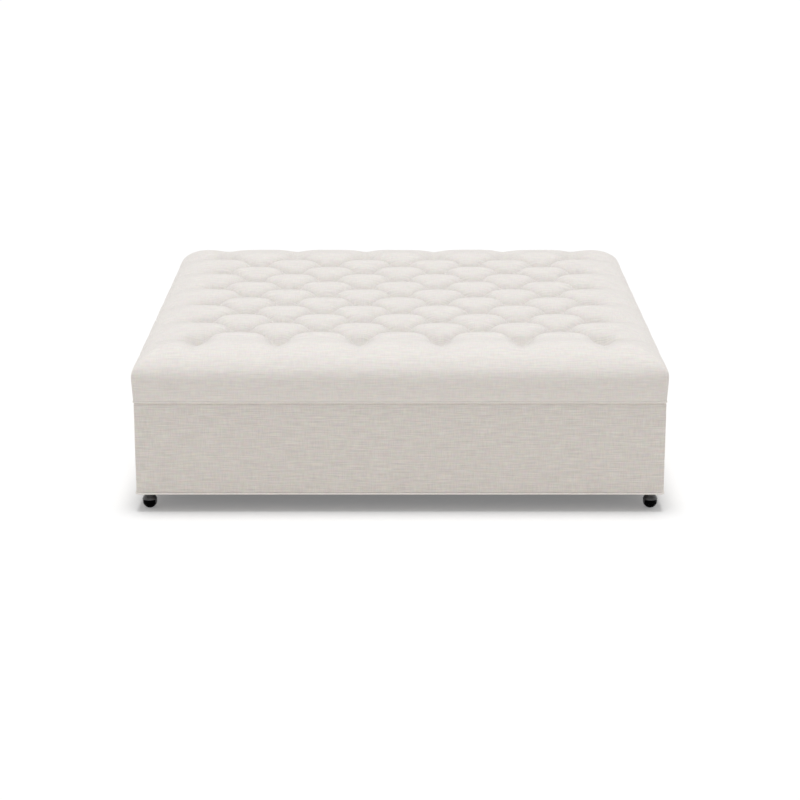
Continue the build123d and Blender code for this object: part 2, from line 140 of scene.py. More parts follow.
def grid_faces(rows, columns, first=0):
    """Quads between the rows of a grid of points, as point numbers."""
    index = first + np.arange(rows * columns).reshape(rows, columns)
    return np.stack([index[:-1, :-1], index[1:, :-1], index[1:, 1:], index[:-1, 1:]], -1).reshape(-1, 4)


# Tufted cover
CELLS = 16
CREASE_DEPTH = 0.024
TUFT_PULL = 0.020
TUFT_REACH = 0.032
ROW_HOLLOW = 0.0055
PAD_FULLNESS = 5.4
PLEAT_REACH = 0.088
PLEAT_END = 0.022
FILL_RISE = 0.0022
DOME_WIDTH = 0.150
DOME_HEIGHT = 0.077
SIDE_BULGE = 0.0065
SEAM_OUT = 0.0013
CORNER_TUCK = 0.004
CORNER_TUCK_REACH = 0.020
WALL_CORNER = 0.006
SHOULDER_CORNER = 0.002
FLAT_RINGS = 4
DOME_RINGS = 24
WALL_SHARES = (0.16, 0.32, 0.48, 0.64, 0.80, 0.92, 0.98, 1.0)
HEM_DROP = 0.0009
FOAM_GAP = 0.0005


def fullness(share):
    """Rise of a pad, from 0 in its crease to 1 at its middle."""
    return 1 - (1 - np.clip(share, 0, 1)) ** PAD_FULLNESS


def off_line(place):
    """0 on the nearest whole number and 1 half way between two."""
    return 2 * np.abs(place - np.round(place))


def tuft_pull(x, y):
    """Pull of the nearest tuft: 1 at its stitch, fading round it."""
    pull = np.zeros_like(x)
    for lines in (TUFT_LINES, TUFT_LINES - 1):
        half_x = (lines - 1) * PITCH_X / 2
        half_y = (lines - 1) * PITCH_Y / 2
        near_x = np.clip(np.round((x + half_x) / PITCH_X), 0, lines - 1) * PITCH_X - half_x
        near_y = np.clip(np.round((y + half_y) / PITCH_Y), 0, lines - 1) * PITCH_Y - half_y
        away = np.hypot(x - near_x, y - near_y)
        pull = np.maximum(pull, np.exp(-((away / TUFT_REACH) ** 2)))
    return pull


def crease_share(x, y):
    """1 along the creases and pleats, 0 on the pads."""
    column = (x + FIELD_X) / PITCH_X
    row = (y + FIELD_Y) / PITCH_Y
    past_x = np.maximum(np.abs(x) - FIELD_X, 0)
    past_y = np.maximum(np.abs(y) - FIELD_Y, 0)
    field = 1 - fullness(off_line(column + row)) * fullness(off_line(column - row))
    from_column = np.where(past_x > 0, 2 * past_x / PITCH_X, off_line(column))
    from_row = np.where(past_y > 0, 2 * past_y / PITCH_Y, off_line(row))
    end_pleats = np.exp(-((past_y / PLEAT_REACH) ** 2)) * (1 - fullness(from_column) ** 2)
    side_pleats = np.exp(-((past_x / PLEAT_REACH) ** 2)) * (1 - fullness(from_row) ** 2)
    share = np.where(past_y > 0, end_pleats, np.where(past_x > 0, side_pleats, field))
    return np.where((past_x > 0) & (past_y > 0), np.maximum(end_pleats, side_pleats), share)


def tufting(x, y):
    """How far the cover is drawn down at a place of its plan."""
    row = 2 * (y + FIELD_Y) / PITCH_Y
    past = np.maximum(np.maximum(np.abs(y) - FIELD_Y, np.abs(x) - FIELD_X), 0)
    hollow = np.sin(math.pi * (row - np.round(row))) ** 2 * np.exp(-((past / PLEAT_REACH) ** 2))
    return CREASE_DEPTH * crease_share(x, y) + TUFT_PULL * tuft_pull(x, y) + ROW_HOLLOW * hollow


def cover_rings():
    """Half width, half depth, height, corner radius and corner tuck of each ring, down to the seam."""
    level_x = HALF_WIDTH + SIDE_BULGE - DOME_WIDTH
    level_y = HALF_DEPTH + SIDE_BULGE - DOME_WIDTH
    wall_top_z = CROWN_Z - DOME_HEIGHT
    rings = []
    for share in np.linspace(0, 1, FLAT_RINGS + 1):
        half_x = FIELD_X + (level_x - FIELD_X) * share
        half_y = FIELD_Y + (level_y - FIELD_Y) * share
        rings.append((half_x, half_y, CROWN_Z, 0, 0))
    for turn in np.linspace(0, math.pi / 2, DOME_RINGS + 1)[1:]:
        out = DOME_WIDTH * math.sin(turn)
        low = 1 - math.cos(turn)
        radius = WALL_CORNER * math.sin(turn) + SHOULDER_CORNER * math.sin(2 * turn)
        rings.append((level_x + out, level_y + out, CROWN_Z - DOME_HEIGHT * low, radius, low**2))
    for share in WALL_SHARES:
        out = SEAM_OUT + (SIDE_BULGE - SEAM_OUT) * (1 - share)
        z = wall_top_z - (wall_top_z - BASE_Z + HEM_DROP) * share
        rings.append((HALF_WIDTH + out, HALF_DEPTH + out, z, WALL_CORNER, (1 - share**2)))
    return rings


def ring_points(plan, half_x, half_y, z, radius, tuck):
    """One ring of the cover, from its plan in shares, with round, tucked corners."""
    half = np.array([half_x, half_y])
    flat = plan * half
    over = np.maximum(np.abs(flat) - (half - radius), 0)
    cornered = (over > 0).all(1)[:, None]
    reach = np.maximum(np.hypot(*over.T), 1e-9)[:, None]
    flat = np.where(cornered, np.sign(flat) * (half - radius + over * radius / reach), flat)
    away = (half - np.abs(flat)).sum(1)[:, None]
    flat = flat - np.sign(flat) * tuck * CORNER_TUCK * np.exp(-away / CORNER_TUCK_REACH)
    return np.column_stack([flat, np.full(len(flat), z)])


def plain_cover():
    """The boxed cover before tufting, turned in over the foam, and the count of its outer points."""
    lines = 2 * CELLS * (TUFT_LINES - 1) + 1
    step = np.linspace(-1, 1, lines)
    plan_x, plan_y = np.meshgrid(step, step, indexing="ij")
    crown = np.full(lines**2, CROWN_Z)
    points = [np.column_stack([plan_x.ravel() * FIELD_X, plan_y.ravel() * FIELD_Y, crown])]
    faces = [grid_faces(lines, lines)]
    cloth = [points[0][faces[0].ravel()][:, :2]]
    index = np.arange(lines**2).reshape(lines, lines)
    edges = {
        "front": index[:-1, 0],
        "right": index[-1, :-1],
        "back": index[:0:-1, -1],
        "left": index[0, :0:-1],
    }
    rim = np.concatenate(list(edges.values()))
    plan = np.column_stack([plan_x.ravel(), plan_y.ravel()])[rim]
    ring = rim
    travel = 0.0
    rings = cover_rings()
    for last, this in zip(rings, rings[1:]):
        start = sum(len(part) for part in points)
        points.append(ring_points(plan, *this))
        next_ring = start + np.arange(len(rim))
        faces.append(np.column_stack([ring, next_ring, np.roll(next_ring, -1), np.roll(ring, -1)]))
        next_travel = travel + math.hypot(this[0] - last[0], this[2] - last[2])
        cloth.append(ring_cloth(plan, last, this, travel, next_travel, lines - 1))
        ring = next_ring
        travel = next_travel
    outer_count = sum(len(part) for part in points)
    recess = np.array([foam_high.x + FOAM_GAP, foam_high.y + FOAM_GAP])
    edge = np.array([HALF_WIDTH, HALF_DEPTH])
    for half, z in ((edge, BASE_Z), (recess, BASE_Z), (recess, foam_high.z + FOAM_GAP)):
        start = sum(len(part) for part in points)
        points.append(np.column_stack([plan * half, np.full(len(rim), z)]))
        next_ring = start + np.arange(len(rim))
        faces.append(np.column_stack([ring, next_ring, np.roll(next_ring, -1), np.roll(ring, -1)]))
        cloth.append(np.concatenate(points)[faces[-1].ravel()][:, :2])
        ring = next_ring
    return np.concatenate(points), np.concatenate(faces).tolist(), np.concatenate(cloth), outer_count


def ring_cloth(plan, last, this, travel, next_travel, count):
    """Places on the cloth of one ring's quads: along its own side, and outwards from the tufts."""
    corners = []
    for number, (out_x, out_y) in enumerate(SIDES.values()):
        here = np.arange(number * count, (number + 1) * count)
        there = (here + 1) % len(plan)
        along = 1 if out_x else 0
        outward = out_x + out_y
        field = FIELD_X if out_x else FIELD_Y
        quad = []
        quad_ends = (
            (here, last, travel),
            (here, this, next_travel),
            (there, this, next_travel),
            (there, last, travel),
        )
        for ends, ring, run in quad_ends:
            place = np.empty((count, 2))
            place[:, along] = plan[ends, along] * ring[along]
            place[:, 1 - along] = outward * (field + run)
            quad.append(place)
        corners.append(np.stack(quad, 1).reshape(-1, 2))
    return np.concatenate(corners)


FILL_PRESSURE = 4.0
FILL_MOST = 0.002
FILL_FRAMES = 20
SEAM_HOLD = 0.004
HOLD_GAIN = 2.2
HOLD_START = 0.6


def fill_cover(piece, held):
    """Blow the cover up like filling does, with its stitched points held, and keep what it does."""
    group = piece.vertex_groups.new(name="stitched")
    for weight in np.unique(held[held > 0]):
        group.add(np.flatnonzero(held == weight).tolist(), float(weight), "REPLACE")
    before = get_points(piece.data)
    filling = piece.modifiers.new("filling", "CLOTH")
    filling.settings.quality = 4
    filling.settings.use_pressure = True
    filling.settings.uniform_pressure_force = FILL_PRESSURE
    filling.settings.effector_weights.gravity = 0
    filling.settings.vertex_group_mass = group.name
    filling.settings.tension_stiffness = 12
    filling.settings.compression_stiffness = 12
    filling.settings.bending_stiffness = 0.6
    filling.collision_settings.use_collision = False
    filling.point_cache.frame_end = FILL_FRAMES
    for number in range(1, FILL_FRAMES + 1):
        scene.frame_set(number)
    after = get_points(as_shown(piece))
    piece.modifiers.clear()
    piece.vertex_groups.clear()
    scene.frame_set(1)
    move = after - before
    length = np.maximum(np.linalg.norm(move, axis=1), 1e-9)[:, None]
    set_points(piece.data, before + move / length * FILL_MOST * np.tanh(length / FILL_MOST))


def tufted_cover():
    """The quilted top: one boxed cover, drawn down at each tuft and filled."""
    points, faces, cloth, outer_count = plain_cover()
    piece = new_piece("tufted_cover", points, faces, cloth)
    depth = tufting(points[:, 0], points[:, 1])
    depth *= np.clip((points[:, 2] - BASE_Z) / PLEAT_END, 0, 1)
    depth[outer_count:] = 0
    points -= get_normals(piece.data) * depth[:, None]
    points[:outer_count, 2] -= FILL_RISE * np.clip((points[:outer_count, 2] - foam_high.z) / PLEAT_END, 0, 1)
    set_points(piece.data, points)
    creases = crease_share(points[:, 0], points[:, 1])
    held = np.round(np.clip(HOLD_GAIN * creases - HOLD_START, 0, 1), 1)
    held[points[:, 2] < BASE_Z + SEAM_HOLD] = 1
    held[outer_count:] = 1
    fill_cover(piece, held)
    smooth_once(piece)
    finish_cover(piece)
    close_over_foam(piece)
    return piece


def close_over_foam(piece):
    """Close the cover from below with one flat face over the foam."""
    shape = bmesh.new()
    shape.from_mesh(piece.data)
    cloth = shape.loops.layers.uv["cloth"]
    rim = [edge for edge in shape.edges if edge.is_boundary]
    for face in bmesh.ops.holes_fill(shape, edges=rim, sides=0)["faces"]:
        for corner in face.loops:
            corner[cloth].uv = corner.vert.co.xy
    shape.to_mesh(piece.data)
    shape.free()


FOLD_DEPTH = 0.0011
FOLD_WIDTH = 0.006
FOLD_LEAN = 0.006
FOLD_LEAN_PITCH = 0.3
GATHER_DEPTH = 0.0004
GATHER_PITCH = 0.024
GATHER_REACH = 0.016
GATHER_EASE = 0.002
RECESS_EASE = 0.01
PAD_UNEVENNESS = 0.0005
PAD_UNEVEN_PITCH = 0.16
PAD_EASE = 0.02


def finish_cover(piece):
    """Small folds below the outer tufts, gathers at the seam and a hand-made unevenness."""
    points = get_points(piece.data)
    normals = get_normals(piece.data)
    x, y, z = points.T
    wall = np.clip((np.maximum(np.abs(x) - FIELD_X, np.abs(y) - FIELD_Y)) / (HALF_WIDTH - FIELD_X), 0, 1)
    depth = np.zeros(len(points))
    for along, across, half, pitch, seed in ((x, y, FIELD_X, PITCH_X, 3), (y, x, FIELD_Y, PITCH_Y, 4)):
        lean = FOLD_LEAN * wander(np.round(along / pitch) * pitch, np.sign(across), FOLD_LEAN_PITCH, seed)
        nearest = np.clip(np.round((along + half) / pitch), 0, TUFT_LINES - 1) * pitch - half
        off = along - nearest - lean * wall
        facing = np.clip(4 * (np.abs(across) - np.abs(along)) / HALF_WIDTH, 0, 1)
        fold = FOLD_DEPTH * np.exp(-((off / FOLD_WIDTH) ** 2)) * wall**2
        depth += fold * facing * np.clip((z - BASE_Z) / PLEAT_END, 0, 1)
    above_seam = z - BASE_Z
    gather = wander(x - y, x + y, GATHER_PITCH, 5) * np.exp(-above_seam / GATHER_REACH)
    outside = np.clip((np.maximum(np.abs(x), np.abs(y)) - foam_high.x) / RECESS_EASE, 0, 1)
    depth += GATHER_DEPTH * gather * outside * np.clip(above_seam / GATHER_EASE, 0, 1)
    # Depth of the tufting, kept as the mask for the linen's painted shade in the creases
    hollow = piece.data.attributes.new("hollow", "FLOAT", "POINT")
    hollow.data.foreach_set("value", np.clip(tufting(x, y) / CREASE_DEPTH, 0, 1).astype(np.float32))
    pads = np.clip((z - foam_high.z) / PAD_EASE, 0, 1)
    depth += PAD_UNEVENNESS * wander(x, y, PAD_UNEVEN_PITCH, 6) * pads
    set_points(piece.data, points - normals * depth[:, None])


# Body fabric, in a cloth sheet a side
EDGE_STEPS = (0, 0.0012, 0.0025, 0.004, 0.006, 0.009, 0.013, 0.018, 0.025)
PANEL_PITCH = 0.012
PANEL_PUFF = 0.0012
PANEL_TUCK = 0.0003
SEAM_TUCK = 0.0014
PANEL_TUCK_REACH = 0.0028
PUFF_REACH = 0.020
PANEL_UNEVEN_SHARE = 0.25
PANEL_UNEVEN_PITCH = 0.22


def stations(length):
    """Places along a cloth's edge: close together near both ends, evenly spaced between."""
    near = np.array(EDGE_STEPS)
    inner = length - 2 * near[-1]
    middle = near[-1] + np.linspace(0, inner, max(int(inner / PANEL_PITCH), 2) + 1)[1:-1]
    return np.concatenate([near, middle, length - near[::-1]])


def body_route(runs, side):
    """Plan of a side's cloth at runs along it: points and outward directions."""
    out_x, out_y = SIDES[side]
    straight_y = HALF_DEPTH - CORNER_RADIUS
    if out_x:
        points = np.column_stack([np.full(len(runs), out_x * HALF_WIDTH), runs - straight_y])
        return points, np.tile([out_x, 0.0], (len(runs), 1))
    straight_x = HALF_WIDTH - CORNER_RADIUS
    arc = CORNER_RADIUS * math.pi / 2
    middle = runs - arc - straight_x
    over = np.sign(middle) * np.maximum(np.abs(middle) - straight_x, 0)
    turn = over / CORNER_RADIUS
    outward = np.column_stack([np.sin(turn), out_y * np.cos(turn)])
    centre_x = np.clip(middle, -straight_x, straight_x)
    centre = np.column_stack([centre_x, np.full(len(runs), out_y * straight_y)])
    return centre + CORNER_RADIUS * outward, outward


def route_length(side):
    """Length of a side's cloth around the body."""
    if SIDES[side][0]:
        return 2 * (HALF_DEPTH - CORNER_RADIUS)
    return 2 * (HALF_WIDTH - CORNER_RADIUS) + math.pi * CORNER_RADIUS


def two_sided_cloth(name, face, back, cloth):
    """A closed sheet between two like grids of points."""
    rows, columns = face.shape[:2]
    count = rows * columns
    front_faces = grid_faces(rows, columns)
    back_faces = grid_faces(rows, columns, count)[:, ::-1]
    index = np.arange(count).reshape(rows, columns)
    rim = np.concatenate([index[:-1, 0], index[-1, :-1], index[:0:-1, -1], index[0, :0:-1]])
    next_rim = np.roll(rim, -1)
    edge_faces = np.column_stack([rim, rim + count, next_rim + count, next_rim])
    faces = np.concatenate([front_faces, back_faces, edge_faces])
    points = np.concatenate([face.reshape(-1, 3), back.reshape(-1, 3)])
    places = np.concatenate([cloth.reshape(-1, 2)] * 2)
    return new_piece(name, points, faces.tolist(), places[faces.ravel()])


def body_cloth(side, seed):
    """The fabric of one side of the body: flat and tight, drawn in under the piping and at its seams."""
    length = route_length(side)
    height = front_high.z - front_low.z
    runs = stations(length)
    rises = stations(height)
    plan, outward = body_route(runs, side)
    run, rise = np.meshgrid(runs, rises, indexing="ij")
    to_end = np.minimum(run, length - run)
    to_edge = np.minimum(rise, height - rise)
    puff = PANEL_PUFF * (1 - np.exp(-to_edge / PUFF_REACH)) * (1 - np.exp(-to_end / PUFF_REACH))
    tuck = np.exp(-((to_edge / PANEL_TUCK_REACH) ** 2)) + np.exp(-((to_end / PANEL_TUCK_REACH) ** 2))
    uneven = PANEL_UNEVEN_SHARE * PANEL_PUFF * wander(run, rise * 2.5, PANEL_UNEVEN_PITCH, seed)
    uneven *= 1 - np.exp(-to_edge / PUFF_REACH)
    under_seam = np.exp(-(((height - rise) / PANEL_TUCK_REACH) ** 2))
    stand = puff + uneven - PANEL_TUCK * np.minimum(tuck, 1) - (SEAM_TUCK - PANEL_TUCK) * under_seam
    layers = []
    for off in (stand, np.full_like(stand, -CLOTH)):
        flat = plan[:, None, :] + outward[:, None, :] * off[:, :, None]
        layers.append(np.dstack([flat, front_low.z + rise]))
    cloth = np.dstack([run, rise])
    if side in ("front", "right"):
        layers = [layer[::-1] for layer in layers]
        cloth = cloth[::-1]
    if side in ("right", "left"):
        layers = [layer[::-1] for layer in layers]
        cloth = cloth[::-1]
    return two_sided_cloth(f"{side}_fabric", *layers, cloth)


# Piping, in a covered cord with its flange in the seam
PIPE_PITCH = 0.006
PIPE_SIDES = 20
PIPE_END_STEPS = (0.0015, 0.004, 0.0065, 0.009, 0.0125)
FLANGE_WIDTH = 0.011
FLANGE_HALF = 0.0006
FLANGE_GAP = 0.0003
FLANGE_STUB = 0.0004
FLANGE_EASE = 0.001
FLANGE_CLOTH = 0.010
TURNED_CLEAR = 0.014
STRAIGHT_CLEAR = 0.0035
ROOT_SPREAD = 1.6
CORD_UNEVENNESS = 0.035
CORD_UNEVEN_PITCH = 0.06


def piping_run(side, level, seed):
    """One run of piping: a slightly uneven cord, with the flange that is sewn into the seam."""
    length = route_length(side)
    steps = int(length / PIPE_PITCH)
    runs = np.linspace(0, length, steps + 1)
    ends = np.array(PIPE_END_STEPS)
    runs = np.sort(np.concatenate([runs, ends, length - ends]))
    plan, outward = body_route(runs, side)
    cord_z = SEAM_Z if level == "upper" else HEM_Z
    flange_z = 0 if level == "upper" else rail_low.z - FLANGE_HALF - FLANGE_GAP - HEM_Z
    swell = CORD_RADIUS * (1 + CORD_UNEVENNESS * wander(runs, runs * 0.3, CORD_UNEVEN_PITCH, seed))
    straight = np.minimum(runs, length - runs)
    clear = TURNED_CLEAR if side in ("front", "back") else STRAIGHT_CLEAR
    grown = np.clip((straight - clear) / FLANGE_EASE, 0, 1)
    fin = CORD_RADIUS + FLANGE_STUB + (FLANGE_WIDTH - CORD_RADIUS) * grown
    root = ROOT_SPREAD * math.asin(FLANGE_HALF / CORD_RADIUS)
    angles = np.linspace(-math.pi + root, math.pi - root, PIPE_SIDES)
    out = np.cos(angles)[None, :] * swell[:, None]
    up = np.sin(angles)[None, :] * swell[:, None]
    fin_out = np.column_stack([-fin, -fin])
    fin_up = np.tile([flange_z + FLANGE_HALF, flange_z - FLANGE_HALF], (len(runs), 1))
    out = np.column_stack([out, fin_out])
    up = np.column_stack([up, fin_up])
    flat = plan[:, None, :] + outward[:, None, :] * out[:, :, None]
    points = np.dstack([flat, cord_z + up]).reshape(-1, 3)
    around = PIPE_SIDES + 2
    index = np.arange(len(points)).reshape(len(runs), around)
    next_index = np.roll(index, -1, axis=1)
    faces = np.stack([index[:-1], next_index[:-1], next_index[1:], index[1:]], -1).reshape(-1, 4)
    girth = np.concatenate([angles * CORD_RADIUS, [FLANGE_CLOTH, 2 * FLANGE_CLOTH]])
    run_grid, girth_grid = np.meshgrid(runs, np.append(girth, girth[-1] + FLANGE_CLOTH), indexing="ij")
    bias = np.dstack([run_grid + girth_grid, run_grid - girth_grid]) / math.sqrt(2)
    corners = [bias[:-1, :-1], bias[:-1, 1:], bias[1:, 1:], bias[1:, :-1]]
    cloth = np.stack(corners, 2).reshape(-1, 2)
    caps = [index[0].tolist(), index[-1][::-1].tolist()]
    cap_cloth = [bias[0, :-1], bias[-1, :-1][::-1]]
    if side in ("back", "left"):
        faces = faces[:, ::-1]
        cloth = cloth.reshape(-1, 4, 2)[:, ::-1].reshape(-1, 2)
        caps = [cap[::-1] for cap in caps]
        cap_cloth = [places[::-1] for places in cap_cloth]
    return new_piece(
        f"{level}_piping_{side}", points, faces.tolist() + caps, np.concatenate([cloth, *cap_cloth])
    )


# Caster hoods: a bell over the ball, with two domed cheeks over its flats
HOOD_TURNS = 72
# Radius and drop below the hood's top
BELL_OUTLINE = (
    (0.0130, 0),
    (0.0129, 0.0100),
    (0.0127, 0.0120),
    (0.0136, 0.0148),
    (0.0158, 0.0182),
    (0.0177, 0.0214),
)
# Radius and rise above the rim
RIM_OUTLINE = ((0.0191, 0.0012), (0.0194, 0.0004), (0.0192, 0), (0.0187, 0.0002))
RIM_RISE = 0.0062
BALL_CLEARANCE = 0.0008
INSIDE_START = 0.0010
INSIDE_END = 0.0002
INSIDE_STEPS = 9
AXIS_RADIUS = 0.0001
CHEEK_TURNS = 48
CHEEK_INNER = 0.0156
CHEEK_RADIUS = 0.0096
CHEEK_CROWN = 0.0189
CHEEK_EDGE = 0.0006
CHEEK_RISE = 0.004
CHEEK_MIDDLE = 0.0001
CHEEK_SHARES = (1, 0.97, 0.9, 0.75, 0.55, 0.3, CHEEK_MIDDLE)


def bell(middle_x, middle_y, ball_z, top_z):
    """Points and faces of the hood's wall, turned about the ball's upright axis, with its inside round."""
    rim_z = ball_z + RIM_RISE
    inner_radius = ball_z + BALL_CLEARANCE
    rises = np.linspace(RIM_RISE + INSIDE_START, inner_radius - INSIDE_END, INSIDE_STEPS)
    profile = [(radius, top_z - drop) for radius, drop in BELL_OUTLINE]
    profile += [(radius, rim_z + rise) for radius, rise in RIM_OUTLINE]
    profile += [(math.sqrt(inner_radius**2 - rise**2), ball_z + rise) for rise in rises]
    profile += [(AXIS_RADIUS, ball_z + inner_radius), (AXIS_RADIUS, top_z)]
    radius, height = np.asarray(profile).T
    turns = np.linspace(0, 2 * math.pi, HOOD_TURNS, endpoint=False)
    x = middle_x + np.outer(np.cos(turns), radius)
    y = middle_y + np.outer(np.sin(turns), radius)
    points = np.dstack([x, y, np.broadcast_to(height, x.shape)]).reshape(-1, 3)
    index = np.arange(len(points)).reshape(HOOD_TURNS, len(radius))
    across = np.roll(index, -1, axis=0)
    faces = np.stack([index, across, np.roll(across, -1, axis=1), np.roll(index, -1, axis=1)], -1)
    return points, faces.reshape(-1, 4)


def cheek(side, middle_x, middle_y, ball_z):
    """Points and faces of one cheek: a domed round cap over the ball's flat, raised into the hood."""
    turns = np.linspace(0, 2 * math.pi, CHEEK_TURNS, endpoint=False)
    ring = CHEEK_RADIUS * np.column_stack([np.cos(turns), np.sin(turns)])
    rows = [(CHEEK_INNER, CHEEK_MIDDLE), (CHEEK_INNER, 1)]
    for share in CHEEK_SHARES:
        out = math.sqrt(CHEEK_CROWN**2 - (CHEEK_RADIUS * share) ** 2)
        rows.append((out - CHEEK_EDGE if share == 1 else out, share))
    rings = [np.column_stack([np.full(CHEEK_TURNS, out), ring * share]) for out, share in rows]
    local = np.concatenate(rings)
    local[:, 2] += CHEEK_RISE * np.clip(local[:, 2] / CHEEK_RADIUS, 0, 1)
    points = local * (side, 1, 1) + (middle_x, middle_y, ball_z)
    index = np.arange(len(points)).reshape(len(rows), CHEEK_TURNS)
    next_index = np.roll(index, -1, axis=1)
    faces = np.stack([index[:-1], index[1:], next_index[1:], next_index[:-1]], -1).reshape(-1, 4)
    return points, faces if side > 0 else faces[:, ::-1]


def caster_hood(corner):
    """The hood of one caster, in the place of the frame's own."""
    ball_low, ball_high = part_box(f"ball_wheel_{corner}")
    hood_top_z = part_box(f"caster_hood_{corner}")[1].z
    middle = (ball_low + ball_high) / 2
    parts = [bell(*middle, hood_top_z)]
    parts += [cheek(side, *middle) for side in (-1, 1)]
    points = np.concatenate([part[0] for part in parts])
    starts = np.cumsum([0] + [len(part[0]) for part in parts])
    faces = np.concatenate([part[1] + start for part, start in zip(parts, starts)])
    return new_piece(f"hood_{corner}", points, faces.tolist())


# Dust cover
DUST_PITCH = 0.018
DUST_SAG = 0.0035
DUST_RIPPLE = 0.0008
DUST_RIPPLE_PITCH = 0.12
DUST_CLOTH = 0.0008
NOTCH = 0.038


def dust_sheet():
    """Thin black cloth stapled under the frame, notched round the casters and sagging a little."""
    half = dust_high.x
    straight = half - NOTCH
    inner = np.linspace(-straight, straight, int(2 * straight / DUST_PITCH) + 1)
    outer = np.linspace(straight, half, 4)[1:]
    lines = np.concatenate([-outer[::-1], inner, outer])
    x, y = np.meshgrid(lines, lines, indexing="ij")
    hang = (1 - np.clip(np.abs(x) / straight, 0, 1) ** 4) * (1 - np.clip(np.abs(y) / straight, 0, 1) ** 4)
    ripple = DUST_RIPPLE * wander(x, y, DUST_RIPPLE_PITCH, 11) * hang
    drop = np.maximum(DUST_SAG * hang**1.5 + ripple, 0)
    count = len(lines)
    under = np.dstack([x, y, dust_high.z - DUST_CLOTH - drop]).reshape(-1, 3)
    over = np.dstack([x, y, dust_high.z - drop]).reshape(-1, 3)
    keep = []
    for quad in grid_faces(count, count):
        middle = under[quad][:, :2].mean(0)
        if not (np.abs(middle) > straight).all():
            keep.append(quad)
    keep = np.array(keep)
    points = np.concatenate([over, under])
    edges = {}
    for quad in keep.tolist():
        for start, end in zip(quad, quad[1:] + quad[:1]):
            if (end, start) in edges:
                del edges[(end, start)]
            else:
                edges[(start, end)] = True
    rim = [[end, start, start + count**2, end + count**2] for start, end in edges]
    faces = np.concatenate([keep, keep[:, ::-1] + count**2, np.array(rim)])
    used = np.unique(faces)
    renumber = np.zeros(len(points), int)
    renumber[used] = np.arange(len(used))
    faces = renumber[faces]
    points = points[used]
    return new_piece("dust_sheet", points, faces.tolist(), points[faces.ravel()][:, :2])


# Material helpers
def feed(tree, socket, value):
    """Link a socket to another, or set its plain value."""
    if isinstance(value, bpy.types.NodeSocket):
        tree.links.new(value, socket)
    else:
        socket.default_value = value


def sum_node(tree, operation, *values):
    """A Math node over sockets or numbers."""
    node = tree.nodes.new("ShaderNodeMath")
    node.operation = operation
    for socket, value in zip(node.inputs, values):
        feed(tree, socket, value)
    return node.outputs[0]


def vector_node(tree, operation, *values):
    """A Vector Math node over sockets, vectors or numbers."""
    node = tree.nodes.new("ShaderNodeVectorMath")
    node.operation = operation
    slots = [node.inputs["Vector"], node.inputs["Scale"]] if operation == "SCALE" else node.inputs
    for socket, value in zip(slots, values):
        feed(tree, socket, value)
    return node.outputs["Vector"]


def noise_node(tree, place, scale, detail=2.0, roughness=0.5):
    """Noise over a place. Returns its value and its colour."""
    node = tree.nodes.new("ShaderNodeTexNoise")
    feed(tree, node.inputs["Vector"], place)
    feed(tree, node.inputs["Scale"], scale)
    node.inputs["Detail"].default_value = detail
    node.inputs["Roughness"].default_value = roughness
    return node.outputs["Fac"], node.outputs["Color"]


def mix_node(tree, share, first, second, blend="MIX"):
    """Two colours mixed by a share."""
    node = tree.nodes.new("ShaderNodeMix")
    node.data_type = "RGBA"
    node.blend_type = blend
    feed(tree, node.inputs[0], share)
    feed(tree, node.inputs[6], first)
    feed(tree, node.inputs[7], second)
    return node.outputs[2]


def spread_node(tree, value, low, high, to_low=0.0, to_high=1.0):
    """A value spread from one range to another, and held within it."""
    node = tree.nodes.new("ShaderNodeMapRange")
    for key, number in zip(("From Min", "From Max", "To Min", "To Max"), (low, high, to_low, to_high)):
        feed(tree, node.inputs[key], number)
    feed(tree, node.inputs["Value"], value)
    return node.outputs["Result"]


def new_group(name, inputs, outputs):
    """An empty shader node group with named sockets. Returns it, its inputs and its output node."""
    tree = bpy.data.node_groups.new(name, "ShaderNodeTree")
    kinds = {"vector": "NodeSocketVector", "colour": "NodeSocketColor", "value": "NodeSocketFloat"}
    for in_out, sockets in (("INPUT", inputs), ("OUTPUT", outputs)):
        for label, kind in sockets:
            tree.interface.new_socket(label, in_out=in_out, socket_type=kinds[kind])
    return tree, tree.nodes.new("NodeGroupInput").outputs, tree.nodes.new("NodeGroupOutput").inputs


def new_material(name):
    """A material with its node tree and its Principled shader."""
    made = bpy.data.materials.new(name)
    made.use_nodes = True
    return made, made.node_tree, made.node_tree.nodes["Principled BSDF"]


def place_group(tree, group, **values):
    """A node group placed in a material, with its inputs by name."""
    node = tree.nodes.new("ShaderNodeGroup")
    node.node_tree = group
    for label, value in values.items():
        feed(tree, node.inputs[label.replace("_", " ")], value)
    return node.outputs


def bump(tree, shader, height, distance):
    """Height in the shader's normal, where distance is the relief in metres."""
    node = tree.nodes.new("ShaderNodeBump")
    node.inputs["Strength"].default_value = 1.0
    node.inputs["Distance"].default_value = distance
    tree.links.new(height, node.inputs["Height"])
    tree.links.new(node.outputs["Normal"], shader.inputs["Normal"])


def cloth_place(tree):
    """Places on the cloth, in metres."""
    node = tree.nodes.new("ShaderNodeUVMap")
    node.uv_map = "cloth"
    return node.outputs["UV"]


def solid_place(tree):
    """Places in the piece, in metres."""
    return tree.nodes.new("ShaderNodeTexCoord").outputs["Object"]


